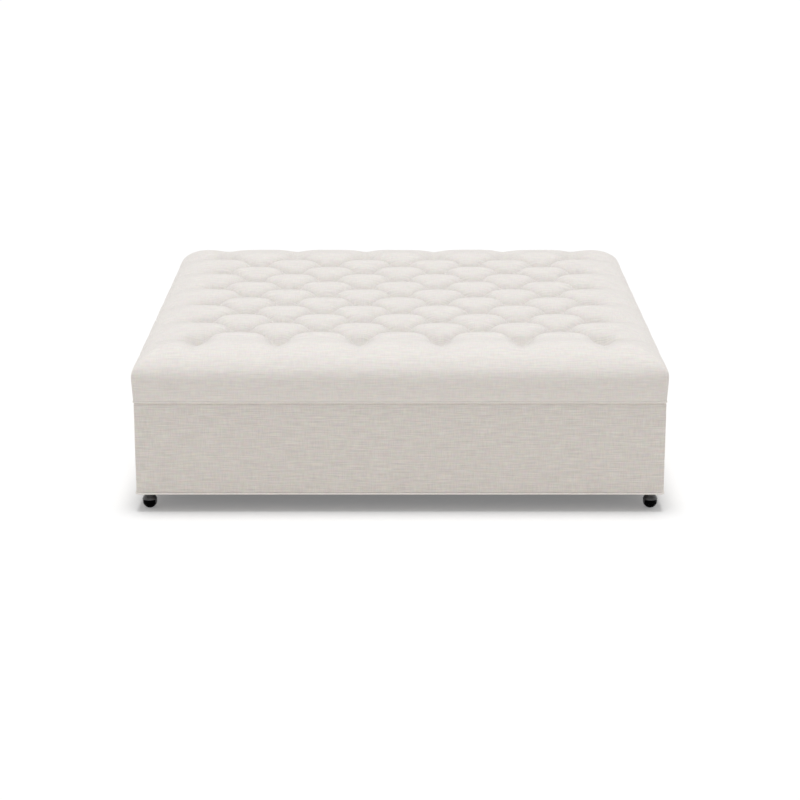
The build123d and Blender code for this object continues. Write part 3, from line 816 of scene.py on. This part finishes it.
# Linen weave group
def linen_weave_group():
    """Plain weave with uneven yarns: slubs both ways, yarns dyed a little apart, and painted shade in the
    creases.
    """
    tree, given, out = new_group(
        "linen_weave",
        [
            ("Place", "vector"),
            ("Yarn", "colour"),
            ("Thread Pitch", "value"),
            ("Slub Contrast", "value"),
            ("Tint Contrast", "value"),
            ("Gap Shade", "value"),
            ("Hollow Shade", "value"),
        ],
        [("Color", "colour"), ("Height", "value"), ("Roughness", "value")],
    )
    _, drift = noise_node(tree, given["Place"], 22.0, 1.0)
    drift = vector_node(tree, "SUBTRACT", drift, (0.5, 0.5, 0.5))
    place = vector_node(tree, "MULTIPLY_ADD", drift, (0.0022, 0.0022, 0.0), given["Place"])
    split = tree.nodes.new("ShaderNodeSeparateXYZ")
    tree.links.new(place, split.inputs[0])
    turns = sum_node(tree, "DIVIDE", math.pi, given["Thread Pitch"])
    warp = sum_node(tree, "COSINE", sum_node(tree, "MULTIPLY", split.outputs["X"], turns))
    weft = sum_node(tree, "COSINE", sum_node(tree, "MULTIPLY", split.outputs["Y"], turns))
    over = sum_node(tree, "MULTIPLY_ADD", sum_node(tree, "MULTIPLY", warp, weft), 0.5, 0.5)
    under = sum_node(tree, "SUBTRACT", 1.0, over)
    warp_rise = sum_node(tree, "MULTIPLY", sum_node(tree, "ABSOLUTE", warp), over)
    weft_rise = sum_node(tree, "MULTIPLY", sum_node(tree, "ABSOLUTE", weft), under)
    threads = sum_node(tree, "MAXIMUM", warp_rise, weft_rise)
    weft_slubs, _ = noise_node(tree, vector_node(tree, "MULTIPLY", place, (18.0, 420.0, 1.0)), 1.0, 1.5, 0.6)
    warp_slubs, _ = noise_node(tree, vector_node(tree, "MULTIPLY", place, (420.0, 34.0, 1.0)), 1.0, 1.0, 0.5)
    slubs = sum_node(tree, "MULTIPLY_ADD", weft_slubs, 0.68, sum_node(tree, "MULTIPLY", warp_slubs, 0.32))
    slubs = sum_node(tree, "SUBTRACT", slubs, 0.5)
    shade = sum_node(tree, "MULTIPLY_ADD", slubs, given["Slub Contrast"], 1.0)
    gaps = sum_node(tree, "MULTIPLY", sum_node(tree, "SUBTRACT", 1.0, threads), given["Gap Shade"])
    shade = sum_node(tree, "SUBTRACT", shade, gaps)
    # Painted shade in the tufting's creases, from the hollow attribute
    shade = sum_node(tree, "SUBTRACT", shade, given["Hollow Shade"])
    _, tint = noise_node(tree, vector_node(tree, "MULTIPLY", place, (70.0, 110.0, 1.0)), 1.0, 1.0)
    tint = vector_node(tree, "SUBTRACT", tint, (0.5, 0.5, 0.5))
    tint = vector_node(tree, "SCALE", tint, given["Tint Contrast"])
    tint = vector_node(tree, "ADD", tint, (1.0, 1.0, 1.0))
    colour = vector_node(tree, "MULTIPLY", given["Yarn"], tint)
    feed(tree, out["Color"], vector_node(tree, "SCALE", colour, shade))
    height = sum_node(tree, "MULTIPLY_ADD", slubs, 1.1, sum_node(tree, "MULTIPLY", threads, 0.45))
    feed(tree, out["Height"], height)
    feed(tree, out["Roughness"], spread_node(tree, threads, 0.0, 1.0, 0.96, 0.86))
    return tree


# Fibre group for wadding, foam, twine and spun cloth
def fibre_group():
    """Tangled fibres or pores: a fine mottle over a broad one."""
    tree, given, out = new_group(
        "fibres",
        [
            ("Place", "vector"),
            ("Light", "colour"),
            ("Dark", "colour"),
            ("Fineness", "value"),
            ("Contrast", "value"),
        ],
        [("Color", "colour"), ("Height", "value"), ("Roughness", "value")],
    )
    fine, _ = noise_node(tree, given["Place"], given["Fineness"], 4.0, 0.65)
    broad, _ = noise_node(tree, given["Place"], sum_node(tree, "MULTIPLY", given["Fineness"], 0.06), 2.0)
    both = sum_node(tree, "MULTIPLY_ADD", broad, 0.35, sum_node(tree, "MULTIPLY", fine, 0.65))
    share = spread_node(tree, both, 0.38, 0.62)
    share = sum_node(tree, "MULTIPLY", share, given["Contrast"])
    feed(tree, out["Color"], mix_node(tree, share, given["Light"], given["Dark"]))
    feed(tree, out["Height"], fine)
    feed(tree, out["Roughness"], spread_node(tree, broad, 0.3, 0.7, 0.85, 0.97))
    return tree


# Wood grain group
def wood_grain_group():
    """Sawn softwood: long wavy rings, dark in their late wood, and fine fibres along the grain."""
    tree, given, out = new_group(
        "wood_grain",
        [
            ("Place", "vector"),
            ("Early Wood", "colour"),
            ("Late Wood", "colour"),
            ("Ring Pitch", "value"),
            ("Contrast", "value"),
        ],
        [("Color", "colour"), ("Height", "value"), ("Roughness", "value")],
    )
    long_place = vector_node(tree, "MULTIPLY", given["Place"], (1.2, 14.0, 14.0))
    bend, _ = noise_node(tree, long_place, 1.0, 2.0)
    split = tree.nodes.new("ShaderNodeSeparateXYZ")
    tree.links.new(given["Place"], split.inputs[0])
    reach = sum_node(tree, "ADD", split.outputs["Y"], sum_node(tree, "MULTIPLY", split.outputs["Z"], 0.6))
    bent = sum_node(tree, "MULTIPLY_ADD", bend, 0.035, reach)
    turns = sum_node(tree, "DIVIDE", 2 * math.pi, given["Ring Pitch"])
    rings = sum_node(tree, "SINE", sum_node(tree, "MULTIPLY", bent, turns))
    rings = sum_node(tree, "POWER", sum_node(tree, "MULTIPLY_ADD", rings, 0.5, 0.5), 2.5)
    fibre_place = vector_node(tree, "MULTIPLY", given["Place"], (18.0, 700.0, 700.0))
    fibres, _ = noise_node(tree, fibre_place, 1.0, 2.0)
    share = sum_node(tree, "MULTIPLY_ADD", fibres, 0.35, sum_node(tree, "MULTIPLY", rings, 0.65))
    share = sum_node(tree, "MULTIPLY", share, given["Contrast"])
    feed(tree, out["Color"], mix_node(tree, share, given["Early Wood"], given["Late Wood"]))
    fibre_height = sum_node(tree, "MULTIPLY", fibres, 0.6)
    feed(tree, out["Height"], sum_node(tree, "MULTIPLY_ADD", rings, 0.4, fibre_height))
    feed(tree, out["Roughness"], spread_node(tree, fibres, 0.3, 0.7, 0.55, 0.78))
    return tree


# Handled surface group for plastics and metals
def handled_group():
    """A moulded, plated or turned surface: fine texture, slight mottle and scuffs."""
    tree, given, out = new_group(
        "handled_surface",
        [
            ("Place", "vector"),
            ("Base", "colour"),
            ("Scuff", "colour"),
            ("Scuff Amount", "value"),
            ("Grain Scale", "value"),
            ("Roughness Low", "value"),
            ("Roughness High", "value"),
        ],
        [("Color", "colour"), ("Height", "value"), ("Roughness", "value")],
    )
    mottle, _ = noise_node(tree, given["Place"], 120.0, 3.0)
    grain, _ = noise_node(tree, given["Place"], given["Grain Scale"], 2.0)
    scratch_place = vector_node(tree, "MULTIPLY", given["Place"], (60.0, 900.0, 260.0))
    scratches, _ = noise_node(tree, scratch_place, 1.0, 3.0, 0.7)
    scuffs = spread_node(tree, scratches, 0.60, 0.74)
    scuffs = sum_node(tree, "MULTIPLY", scuffs, spread_node(tree, mottle, 0.45, 0.65))
    scuffs = sum_node(tree, "MULTIPLY", scuffs, given["Scuff Amount"])
    tone = sum_node(tree, "MULTIPLY_ADD", mottle, 0.24, 0.88)
    colour = vector_node(tree, "SCALE", given["Base"], tone)
    feed(tree, out["Color"], mix_node(tree, scuffs, colour, given["Scuff"]))
    rough = spread_node(tree, mottle, 0.3, 0.7, given["Roughness Low"], given["Roughness High"])
    feed(tree, out["Roughness"], sum_node(tree, "MULTIPLY_ADD", scuffs, 0.2, rough))
    feed(tree, out["Height"], sum_node(tree, "MULTIPLY_ADD", scuffs, -0.5, grain))
    return tree


LINEN_WEAVE = linen_weave_group()
FIBRES = fibre_group()
WOOD_GRAIN = wood_grain_group()
HANDLED = handled_group()


# Materials
YARN_PITCH = 0.0011


def linen(name, yarn, slubs, relief, nap, crease_shade_amount=0.0):
    """A light linen, woven of uneven yarns, with a soft nap, and painted shade darkening it along the
    tufting's creases where asked for.
    """
    made, tree, shader = new_material(name)
    painted_crease_shade = 0.0
    # Painted shade: the colour is darkened along the tufting's creases by the hollow attribute
    if crease_shade_amount:
        hollow = tree.nodes.new("ShaderNodeAttribute")
        hollow.attribute_name = "hollow"
        painted_crease_shade = sum_node(tree, "MULTIPLY", hollow.outputs["Fac"], crease_shade_amount)
    weave = place_group(
        tree,
        LINEN_WEAVE,
        Place=cloth_place(tree),
        Yarn=(*yarn, 1),
        Thread_Pitch=YARN_PITCH,
        Slub_Contrast=slubs,
        Tint_Contrast=0.12,
        Gap_Shade=0.10,
        Hollow_Shade=painted_crease_shade,
    )
    tree.links.new(weave["Color"], shader.inputs["Base Color"])
    tree.links.new(weave["Roughness"], shader.inputs["Roughness"])
    bump(tree, shader, weave["Height"], relief)
    shader.inputs["Specular IOR Level"].default_value = 0.2
    shader.inputs["Sheen Weight"].default_value = nap
    shader.inputs["Sheen Roughness"].default_value = 0.5
    return made


def fibrous(name, light, dark, fineness, contrast, relief):
    """Wadding, foam, twine or spun cloth."""
    made, tree, shader = new_material(name)
    fibres = place_group(
        tree,
        FIBRES,
        Place=solid_place(tree),
        Light=(*light, 1),
        Dark=(*dark, 1),
        Fineness=fineness,
        Contrast=contrast,
    )
    tree.links.new(fibres["Color"], shader.inputs["Base Color"])
    tree.links.new(fibres["Roughness"], shader.inputs["Roughness"])
    bump(tree, shader, fibres["Height"], relief)
    shader.inputs["Specular IOR Level"].default_value = 0.25
    return made


def timber(name, early, late, ring_pitch, contrast, grain_turn=(0, 0, 0)):
    """Unfinished wood, its grain along X until it is turned."""
    made, tree, shader = new_material(name)
    turned = tree.nodes.new("ShaderNodeVectorRotate")
    turned.rotation_type = "EULER_XYZ"
    turned.inputs["Rotation"].default_value = grain_turn
    tree.links.new(solid_place(tree), turned.inputs["Vector"])
    grain = place_group(
        tree,
        WOOD_GRAIN,
        Place=turned.outputs[0],
        Early_Wood=(*early, 1),
        Late_Wood=(*late, 1),
        Ring_Pitch=ring_pitch,
        Contrast=contrast,
    )
    tree.links.new(grain["Color"], shader.inputs["Base Color"])
    tree.links.new(grain["Roughness"], shader.inputs["Roughness"])
    bump(tree, shader, grain["Height"], 0.0003)
    return made


def moulded(name, base, scuff, amount, rough, metal=0.0, specular=0.5, coat=0.0, grain_scale=2500.0):
    """Plastic or metal, with its own gloss."""
    made, tree, shader = new_material(name)
    surface = place_group(
        tree,
        HANDLED,
        Place=solid_place(tree),
        Base=(*base, 1),
        Scuff=(*scuff, 1),
        Scuff_Amount=amount,
        Grain_Scale=grain_scale,
        Roughness_Low=rough[0],
        Roughness_High=rough[1],
    )
    tree.links.new(surface["Color"], shader.inputs["Base Color"])
    tree.links.new(surface["Roughness"], shader.inputs["Roughness"])
    bump(tree, shader, surface["Height"], 0.00004)
    shader.inputs["Metallic"].default_value = metal
    shader.inputs["Specular IOR Level"].default_value = specular
    shader.inputs["Coat Weight"].default_value = coat
    shader.inputs["Coat Roughness"].default_value = 0.08
    return made


QUARTER = math.pi / 2
# Top and body are one linen: the top's yarn is set lighter and whiter as painted light, the body's darker
# and warmer as painted shade on its faces
top_linen_painted_light = linen("top_linen_painted_light", (0.850, 0.812, 0.775), slubs=0.40, relief=0.00035, nap=0.40, crease_shade_amount=0.11)
body_linen = linen("body_linen", (0.816, 0.775, 0.732), slubs=0.62, relief=0.00040, nap=0.10)
# The piping is the same linen, its yarn set lighter as a painted highlight on the cord tops
welt_linen = linen("welt_linen", (0.920, 0.880, 0.838), slubs=0.24, relief=0.00025, nap=0.35)
spun_cloth = fibrous("spun_cloth", (0.040, 0.040, 0.043), (0.018, 0.018, 0.020), 900.0, 1.0, 0.0003)
foam = fibrous("foam", (0.86, 0.82, 0.64), (0.70, 0.62, 0.42), 700.0, 0.55, 0.0008)
wadding = fibrous("wadding", (0.86, 0.86, 0.85), (0.66, 0.66, 0.64), 260.0, 0.6, 0.0015)
twine = fibrous("twine", (0.74, 0.66, 0.50), (0.48, 0.40, 0.27), 1800.0, 0.8, 0.0004)
RAIL_WOOD = ((0.62, 0.44, 0.25), (0.40, 0.24, 0.11), 0.0085, 0.85)
rail_across = timber("rail_timber_across", *RAIL_WOOD)
rail_along = timber("rail_timber_along", *RAIL_WOOD, grain_turn=(0, 0, QUARTER))
block_timber = timber("block_timber", (0.54, 0.37, 0.20), (0.34, 0.20, 0.09), 0.0060, 0.9, (0, QUARTER, 0))
deck_ply = timber("deck_ply", (0.66, 0.51, 0.31), (0.47, 0.32, 0.17), 0.0210, 0.6)
washer_plastic = moulded("washer_plastic", (0.72, 0.72, 0.69), (0.5, 0.5, 0.48), 0.3, (0.42, 0.58))
screw_steel = moulded("screw_steel", (0.58, 0.54, 0.44), (0.30, 0.28, 0.25), 0.6, (0.26, 0.42), 1.0)
plate_steel = moulded("plate_steel", (0.030, 0.030, 0.032), (0.16, 0.16, 0.16), 0.5, (0.38, 0.55), 0.0, 0.45)
pin_steel = moulded("pin_steel", (0.55, 0.55, 0.56), (0.28, 0.28, 0.28), 0.5, (0.18, 0.32), 1.0)
hood_plastic = moulded(
    "hood_plastic", (0.062, 0.062, 0.065), (0.14, 0.14, 0.14), 0.2, (0.26, 0.38), coat=0.15
)
ball_plastic = moulded(
    "ball_plastic", (0.0012, 0.0012, 0.0013), (0.01, 0.01, 0.01), 0.08, (0.42, 0.55), specular=0.02
)


def dress(piece, made):
    """Give a new piece its one material."""
    piece.data.materials.clear()
    piece.data.materials.append(made)


# Covers over the frame
cover = tufted_cover()
dress(cover, top_linen_painted_light)
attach(cover, "root")
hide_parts("tufted_top")

for number, side in enumerate(SIDES):
    panel = body_cloth(side, 20 + number)
    dress(panel, body_linen)
    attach(panel, "root")
    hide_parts(f"{side}_panel")
    for level in ("upper", "lower"):
        piping = piping_run(side, level, 40 + number)
        dress(piping, welt_linen)
        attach(piping, "root")
        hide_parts(f"{level}_welt_{side}")

under_cloth = dust_sheet()
dress(under_cloth, spun_cloth)
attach(under_cloth, "root")
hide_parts("dust_cover")

for end in ("front", "back"):
    for flank in ("left", "right"):
        hood = caster_hood(f"{end}_{flank}")
        dress(hood, hood_plastic)
        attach(hood, f"caster_{end}_{flank}")
        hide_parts(f"caster_hood_{end}_{flank}")

# Finishes of the frame's own nodes, by how their names begin
FINISHES = {
    "foam_slab": foam,
    "front_padding": wadding,
    "back_padding": wadding,
    "left_padding": wadding,
    "right_padding": wadding,
    "tuft_ties": twine,
    "tuft_washers": washer_plastic,
    "front_rail": rail_across,
    "back_rail": rail_across,
    "left_rail": rail_along,
    "right_rail": rail_along,
    "left_beam": rail_along,
    "right_beam": rail_along,
    "corner_block": block_timber,
    "deck_screws": screw_steel,
    "frame_screws": screw_steel,
    "caster_screws": screw_steel,
    "staples": screw_steel,
    "deck": deck_ply,
    "caster_plate": plate_steel,
    "kingpin": pin_steel,
    "caster_axle": pin_steel,
    "caster_hood": hood_plastic,
    "ball_wheel": ball_plastic,
    "tufted_top": top_linen_painted_light,
    "front_panel": body_linen,
    "back_panel": body_linen,
    "left_panel": body_linen,
    "right_panel": body_linen,
    "upper_welt": welt_linen,
    "lower_welt": welt_linen,
    "dust_cover": spun_cloth,
}
for name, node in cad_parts.items():
    beginning = max((start for start in FINISHES if name.startswith(start)), key=len)
    for place in node.material_slots:
        place.material = FINISHES[beginning]

# Stage: a pale floor that goes to white, with the object's own shadow
FLOOR_SIZE = 80
FLOOR_LIFT = 0.195
FLOOR_SEEN = (0.75, 0.75, 0.75, 1)
FLOOR_BOUNCE = (0.90, 0.875, 0.845, 1)
bpy.ops.mesh.primitive_plane_add(size=FLOOR_SIZE)
floor = bpy.context.object
floor.name = "floor"


def seen_rays(tree):
    """1 for rays from the camera or by way of a mirror or glass, 0 for light on its way."""
    path = tree.nodes.new("ShaderNodeLightPath").outputs
    mirrored = sum_node(tree, "MAXIMUM", path["Is Glossy Ray"], path["Is Transmission Ray"])
    return sum_node(tree, "MAXIMUM", path["Is Camera Ray"], mirrored)


made, tree, shader = new_material("studio_floor")
seen = seen_rays(tree)
feed(tree, shader.inputs["Base Color"], mix_node(tree, seen, FLOOR_BOUNCE, FLOOR_SEEN))
shader.inputs["Roughness"].default_value = 1.0
shader.inputs["Specular IOR Level"].default_value = 0.0
shader.inputs["Emission Color"].default_value = (1, 1, 1, 1)
feed(tree, shader.inputs["Emission Strength"], sum_node(tree, "MULTIPLY", seen, FLOOR_LIFT))
dress(floor, made)

# Light: an even room and one broad lamp overhead
ROOM_LIGHT = 0.50
LAMP_POWER = 1.93
LAMP_SPREAD = math.radians(22)
LAMP_LEAN = math.radians(-1.5)
world = bpy.data.worlds.new("studio")
scene.world = world
world.use_nodes = True
sky = world.node_tree
background = sky.nodes["Background"]
background.inputs["Color"].default_value = (1, 1, 1, 1)
strength = sum_node(sky, "MULTIPLY_ADD", seen_rays(sky), 1 - ROOM_LIGHT, ROOM_LIGHT)
feed(sky, background.inputs["Strength"], strength)
lamp_data = bpy.data.lights.new("overhead", "SUN")
lamp_data.energy = LAMP_POWER
lamp_data.angle = LAMP_SPREAD
lamp = bpy.data.objects.new("overhead", lamp_data)
lamp.location = (0, 0, 4)
lamp.rotation_euler = (LAMP_LEAN, 0, 0)
scene.collection.objects.link(lamp)

# Camera at the photograph's angle, fitted to the object's edges
IMAGE_WIDTH_PX = 800
FOCAL_PX = 2195
CAMERA_AHEAD = 3.9594 * 2 * HALF_WIDTH
CAMERA_HEIGHT = 1.32124 * 2 * HALF_WIDTH
CAMERA_PITCH = math.radians(15.54)
camera_data = bpy.data.cameras.new("camera")
camera_data.sensor_width = 36
camera_data.lens = camera_data.sensor_width * FOCAL_PX / IMAGE_WIDTH_PX
camera_data.clip_end = 200
camera = bpy.data.objects.new("camera", camera_data)
camera.location = (0, -HALF_DEPTH - CAMERA_AHEAD, CAMERA_HEIGHT)
camera.rotation_euler = (math.pi / 2 - CAMERA_PITCH, 0, 0)
scene.collection.objects.link(camera)
scene.camera = camera
scene.view_settings.view_transform = "Standard"
